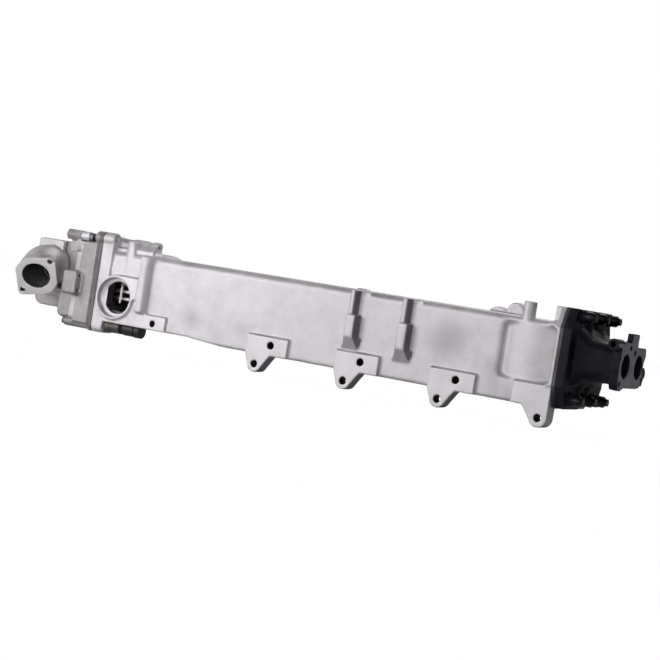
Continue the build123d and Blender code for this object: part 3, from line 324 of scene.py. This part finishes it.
def merged_copy(node, piece_name, backing):
    """A merged copy of a node as a new object, with boxes added that thicken its walls from the inside."""
    body = bpy.data.objects.new(piece_name, nodes[node].data.copy())
    scene.collection.objects.link(body)
    work = bmesh.new()
    work.from_mesh(body.data)
    bmesh.ops.remove_doubles(work, verts=work.verts, dist=merge_distance)
    for low, high in backing:
        low, high = Vector(low), Vector(high)
        sized = Matrix.Translation((low + high) / 2.0) @ Matrix.Diagonal((*(high - low), 1.0))
        bmesh.ops.create_cube(work, size=1.0, matrix=sized)
    work.to_mesh(body.data)
    work.free()
    return body


def apply_modifiers(body):
    """Turns an object's modifiers into its mesh."""
    bpy.context.view_layer.update()
    shaped = body.evaluated_get(bpy.context.evaluated_depsgraph_get())
    body.data = bpy.data.meshes.new_from_object(shaped)
    body.modifiers.clear()


def relax_places(mesh, softer):
    """Relaxes the grid points in each box a number of times more, which rounds its edges further."""
    work = bmesh.new()
    work.from_mesh(mesh)
    for box, times in softer:
        chosen = [v for v in work.verts if inside(v.co, box)]
        for _ in range(times):
            bmesh.ops.smooth_vert(work, verts=chosen, factor=relax_factor,
                                  use_axis_x=True, use_axis_y=True, use_axis_z=True)
    work.to_mesh(mesh)
    work.free()


def soft_casting(node, piece_name, voxel, rounds, limit, finishes, finish_at, softer=(), backing=()):
    """Replaces a node by a casting that has the small fillets a mould gives every edge and corner.

    A copy of the node is rebuilt as an even grid, its grid points are relaxed, some places more than others,
    and it is thinned again to a limit of triangles. A wall thinner than the grid would be lost, so backing
    gives boxes that thicken such walls from the inside first. finish_at gives the place of each face's
    material in the finishes.
    """
    body = merged_copy(node, piece_name, backing)
    grid = body.modifiers.new("even_grid", "REMESH")
    grid.mode = "VOXEL"
    grid.voxel_size = voxel
    relax = body.modifiers.new("relaxed_edges", "SMOOTH")
    relax.factor = relax_factor
    relax.iterations = rounds
    apply_modifiers(body)
    relax_places(body.data, softer)
    thin = body.modifiers.new("thinned", "DECIMATE")
    thin.ratio = min(1.0, limit / (2.0 * len(body.data.polygons)))
    apply_modifiers(body)
    mesh = body.data
    mesh.materials.clear()
    for finish in finishes:
        mesh.materials.append(finish)
    for face in mesh.polygons:
        face.material_index = finish_at(face.center, face.normal)
    mesh.shade_smooth()
    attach(body, "root")
    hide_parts(node)


# How much a face looks along a direction, from 0 for across it to 1 for straight along it, and how far from a
# plane or a rim it may lie to count as on it.
squarely = 0.94
mostly = 0.6
clearly = 0.5
slightly = 0.3
barely = 0.2
plane_slack = 0.0008
rim_slack = 0.001


def near_face(place, normal, where, facing):
    """True on the flat face that passes through a point and looks along a direction."""
    return normal.dot(facing) > squarely and abs((place - where).dot(facing)) < plane_slack


def in_hole(place, normal, mouth, axis, reach):
    """True on a wall or floor inside a round hole."""
    away = place - mouth
    across = away - axis * away.dot(axis)
    inward = across.dot(normal) < 0.0 or normal.dot(axis) > mostly
    return across.length < reach and away.dot(axis) < -rim_slack and inward


# Below, a place is a point or a box of two corners, in metres. A box that is open on a side goes on this far.
far = 1.0
lug_side = Vector((0.0, -1.0, 0.0))
hot_side = Vector((1.0, 0.0, 0.0))

# The jacket's lugs, each with a hole, all but the last with a second one higher up, and the hole in its tail.
lug_pitch = 0.155
lug_count = 4
lug_top_z = 0.046
lug_face = Vector((0.0, 0.0, 0.0))
lug_mouths = [Vector(((i - (lug_count - 1) / 2.0) * lug_pitch, 0.0, 0.0)) for i in range(lug_count)]
second_hole = Vector((0.024, 0.0, 0.0312))
tail_hole = Vector((-0.4283, 0.0, 0.0312))
lug_holes = lug_mouths + [mouth + second_hole for mouth in lug_mouths[:-1]] + [tail_hole]
# Inside these holes the walls and floors get painted shade.
lug_hole_reach = 0.0061
# Faces under the lugs that turn down or towards the hot end get painted shade.
under_lugs = ((-0.260, 0.001, -far), (0.150, 0.030, 0.014))

# The jacket's milled front runs from the end block to the hot end, where it takes in the whole height.
end_block_x = -0.460
hot_pad_x = 0.190

# The coolant port: its face, and the wall behind its counterbore, which gets painted shade.
port_face = Vector((0.0, -0.006, 0.0))
port_x = -0.505
port_z = 0.0622
port_wall_reach = 0.0264
port_wall_y = (0.006, 0.016)

# The two ribs and the places that are rounded more than the rest, each with its number of rounds.
rib_x = ((-0.095, -0.050), (-0.008, 0.036))
rib_foot_z = (0.040, 0.036)
rib_root_y = 0.0065
# The ribs' flanks that face the hot end get painted shade.
rib_flanks = [((low, -far, min(rib_foot_z)), (high, rib_root_y, far)) for low, high in rib_x]
rib_boxes = [((low, -0.012, foot), (high, 0.012, 0.137)) for (low, high), foot in zip(rib_x, rib_foot_z)]
pocket_box = ((0.150, 0.003, 0.042), (0.243, 0.018, 0.134))
end_block_box = ((-0.468, -0.016, 0.040), (-0.438, 0.012, 0.137))
jacket_softer = [(pocket_box, 16)] + [(box, 4) for box in rib_boxes] + [(end_block_box, 8)]

# The water space, whose faces get painted shade, and the outer walls inside its box that don't: the pocket,
# the relief by the port and the floor.
water_space = ((-0.544, 0.0135, 0.0205), (0.245, 0.1475, 0.132))
pocket_walls = ((0.150, -far, -far), (far, 0.018, far))
port_relief = ((-far, -far, -far), (-0.430, far, 0.040))
outer_floor_z = 0.0225

# The jacket's floor is only 0.4 mm thick in the solids near the cold end. It is backed from the inside, so
# the outside stays where it is and the floor stays closed.
thin_floor = (((-0.530, 0.066, 0.0209), (-0.345, 0.146, 0.0255)),
              ((-0.421, 0.012, 0.0209), (-0.345, 0.146, 0.0255)))


def housing_finish(place, normal):
    """1 on the milled pads and port face, 2 with painted shade on the water side and in holes, 3 with painted
    shade under the lugs and on the ribs' flanks, 0 elsewhere.
    """
    x, y, z = place
    if z < lug_top_z and any(in_hole(place, normal, mouth, lug_side, lug_hole_reach) for mouth in lug_holes):
        return 2
    if port_wall_y[0] < y < port_wall_y[1] and math.hypot(x - port_x, z - port_z) < port_wall_reach:
        return 2
    if near_face(place, normal, port_face, lug_side):
        return 1
    on_pad = x > end_block_x and (z < lug_top_z or x > hot_pad_x)
    if on_pad and near_face(place, normal, lug_face, lug_side):
        return 1
    turned_down = normal.y > -clearly and (normal.z < -slightly or normal.x > clearly)
    if turned_down and inside(place, under_lugs):
        return 3
    if normal.x > clearly and any(inside(place, flank) for flank in rib_flanks):
        return 3
    pocket_side = normal.y < slightly and inside(place, pocket_walls)
    floor_side = z < outer_floor_z and normal.z < barely
    outer = pocket_side or floor_side or inside(place, port_relief)
    return 2 if inside(place, water_space) and not outer else 0


# The cover: its gas chamber, the window from there into the jacket and the sensor block's screw holes, which
# get painted shade, the strip of leaning faces, which gets painted light, and the band beside the joint,
# painted shade.
chamber = ((-0.699, 0.046, 0.038), (-0.6035, 0.135, 0.136))
window = ((-0.6035, 0.023, 0.049), (far, 0.135, 0.133))
sensor_holes = (Vector((-0.576, -0.008, 0.0634)), Vector((-0.576, -0.008, 0.087)))
sensor_hole_reach = 0.0029
leaning = Vector((-0.447, -0.894, 0.0))
leaning_closely = 0.95
leaning_strip = ((-0.601, -far, -far), (-0.582, 0.010, far))
joint_band = ((-0.5545, -far, -far), (far, 0.0012, far))


def cover_finish(place, normal):
    """1 in the gas chamber and screw holes and 3 beside the joint, both painted shade, 2 on the leaning
    faces, painted light, and 0 elsewhere.
    """
    if inside(place, chamber) or inside(place, window):
        return 1
    if any(in_hole(place, normal, mouth, hot_side, sensor_hole_reach) for mouth in sensor_holes):
        return 1
    if normal.dot(leaning) > leaning_closely and inside(place, leaning_strip):
        return 2
    return 3 if inside(place, joint_band) else 0


# The elbow: its mouth, the way it looks, its two bolt holes, and the bend where the bore turns to the cover.
elbow_mouth = Vector((-0.6546, -0.0200, 0.0753))
elbow_out = Vector((0.377, -0.759, -0.531)).normalized()
elbow_across = Vector((0.924, 0.351, 0.154)).normalized()
elbow_run = 0.041
elbow_bend = elbow_mouth - elbow_out * elbow_run
hole_across = 0.0275
hole_up = 0.0262
elbow_hole = elbow_across * hole_across + elbow_out.cross(elbow_across) * hole_up
elbow_holes = (elbow_mouth - elbow_hole, elbow_mouth + elbow_hole)
elbow_hole_reach = 0.0048
bore_reach = 0.0236
bore_radius = 0.0215


def elbow_finish(place, normal):
    """1 on the milled flange face, 2 with painted shade in the gas bore and bolt holes, and 0 elsewhere; 1
    and 0 carry painted light.
    """
    if near_face(place, normal, elbow_mouth, elbow_out):
        return 1
    if any(in_hole(place, normal, mouth, elbow_out, elbow_hole_reach) for mouth in elbow_holes):
        return 2
    from_mouth = elbow_out.cross(place - elbow_mouth).cross(elbow_out)
    from_base = Vector((place.x - elbow_bend.x, 0.0, place.z - elbow_bend.z))
    past_bend = place.y > elbow_bend.y
    for away, own_stretch in ((from_mouth, not past_bend), (from_base, past_bend)):
        inward = away.dot(normal) < 0.0
        if away.length < bore_reach and (inward or own_stretch and away.length < bore_radius):
            return 2
    return 0


twin_port_face = Vector((0.3295, 0.0, 0.0))


def manifold_finish(place, normal):
    """1 on the milled twin port face, and 0 elsewhere."""
    return int(near_face(place, normal, twin_port_face, hot_side))


soft_casting("cooler_housing", "cooler_jacket_casting",
             voxel=0.00135, rounds=4, limit=195000,
             finishes=[blasted_aluminium, milled_aluminium, painted_shade_water_side, painted_shade_aluminium],
             finish_at=housing_finish, softer=jacket_softer, backing=thin_floor)
soft_casting("gas_outlet_cover", "outlet_cover_casting",
             voxel=0.0011, rounds=4, limit=90000,
             finishes=[raw_aluminium, painted_shade_gas_side, painted_light_aluminium, joint_band_shade], finish_at=cover_finish)
soft_casting("outlet_elbow", "outlet_elbow_casting",
             voxel=0.0010, rounds=4, limit=70000,
             finishes=[elbow_painted_light_aluminium, milled_painted_light, painted_shade_gas_side], finish_at=elbow_finish)
soft_casting("gas_inlet_manifold", "inlet_manifold_casting",
             voxel=0.0011, rounds=5, limit=90000,
             finishes=[black_enamel, milled_iron], finish_at=manifold_finish)

# To the camera the floor is mostly a white of its own, a little over 1 because the rest is darker paint that
# takes the part's shadow. Gloss on the part shows a share of it too.
floor_half = 6.0
floor_gap = 0.002
floor_whiteness = 0.95
floor_white = 1.045
floor_in_gloss = 0.3


def add_floor():
    """A plain pale floor under the part that shows white to the camera and keeps the part's shadow."""
    mesh = bpy.data.meshes.new("floor")
    sheet = bmesh.new()
    bmesh.ops.create_grid(sheet, x_segments=1, y_segments=1, size=floor_half)
    bmesh.ops.translate(sheet, vec=(0.0, 0.0, cad_box[0][2] - floor_gap), verts=sheet.verts)
    sheet.to_mesh(mesh)
    sheet.free()
    floor = bpy.data.objects.new("floor", mesh)
    scene.collection.objects.link(floor)
    material = bpy.data.materials.new("pale_floor")
    material.use_nodes = True
    tree = material.node_tree
    tree.nodes.clear()
    ray = put(tree, "ShaderNodeLightPath")
    gloss = put(tree, "ShaderNodeMath", {1: floor_in_gloss}, {0: ray.outputs["Is Glossy Ray"]},
                operation="MULTIPLY")
    seen = put(tree, "ShaderNodeMath", links={0: ray.outputs["Is Camera Ray"], 1: gloss.outputs[0]},
               operation="MAXIMUM")
    paint = put(tree, "ShaderNodeBsdfDiffuse", {"Color": colour("#777777")})
    white = put(tree, "ShaderNodeEmission", {"Color": colour("#ffffff"), "Strength": floor_white})
    mixed = put(tree, "ShaderNodeMixShader", {"Fac": floor_whiteness},
                {1: paint.outputs[0], 2: white.outputs[0]})
    final = put(tree, "ShaderNodeMixShader",
                links={0: seen.outputs[0], 1: paint.outputs[0], 2: mixed.outputs[0]})
    put(tree, "ShaderNodeOutputMaterial", links={"Surface": final.outputs[0]})
    mesh.materials.append(material)


room_light = 0.22


def add_light(name, place, target, power, size, spread=180.0):
    """A soft square lamp that looks at a point, with the width of its beam in degrees."""
    data = bpy.data.lights.new(name, "AREA")
    data.energy = power
    data.size = size
    data.spread = math.radians(spread)
    lamp = bpy.data.objects.new(name, data)
    lamp.location = place
    lamp.rotation_euler = (Vector(target) - Vector(place)).to_track_quat("-Z", "Y").to_euler()
    scene.collection.objects.link(lamp)


def add_studio():
    """Even pale surroundings and five soft lamps: three in front, one on the left and one behind."""
    world = bpy.data.worlds.new("studio")
    scene.world = world
    world.use_nodes = True
    tree = world.node_tree
    tree.nodes.clear()
    ray = put(tree, "ShaderNodeLightPath")
    seen = put(tree, "ShaderNodeMath",
               links={0: ray.outputs["Is Camera Ray"], 1: ray.outputs["Is Transmission Ray"]},
               operation="MAXIMUM")
    room = put(tree, "ShaderNodeBackground", {"Color": colour("#dcdce0"), "Strength": room_light})
    white = put(tree, "ShaderNodeBackground", {"Color": colour("#ffffff"), "Strength": 1.0})
    mixed = put(tree, "ShaderNodeMixShader",
                links={0: seen.outputs[0], 1: room.outputs[0], 2: white.outputs[0]})
    put(tree, "ShaderNodeOutputWorld", links={"Surface": mixed.outputs[0]})
    add_light("key", (-1.8, -2.8, 0.5), (-0.2, 0.0, 0.08), power=70.0, size=2.0)
    add_light("fill", (1.5, -2.8, 0.5), (-0.25, 0.0, 0.08), power=20.0, size=1.8)
    add_light("cold_end_fill", (0.2, -1.35, 0.02), (-0.62, 0.0, 0.07), power=0.55, size=0.5, spread=26.0)
    add_light("left", (-2.4, -0.3, 0.35), (-0.5, 0.0, 0.08), power=9.0, size=1.2)
    add_light("back", (-0.3, 2.1, 2.0), (-0.15, 0.1, 0.1), power=32.0, size=2.0)


add_camera()
add_floor()
add_studio()
scene.view_settings.view_transform = "Standard"
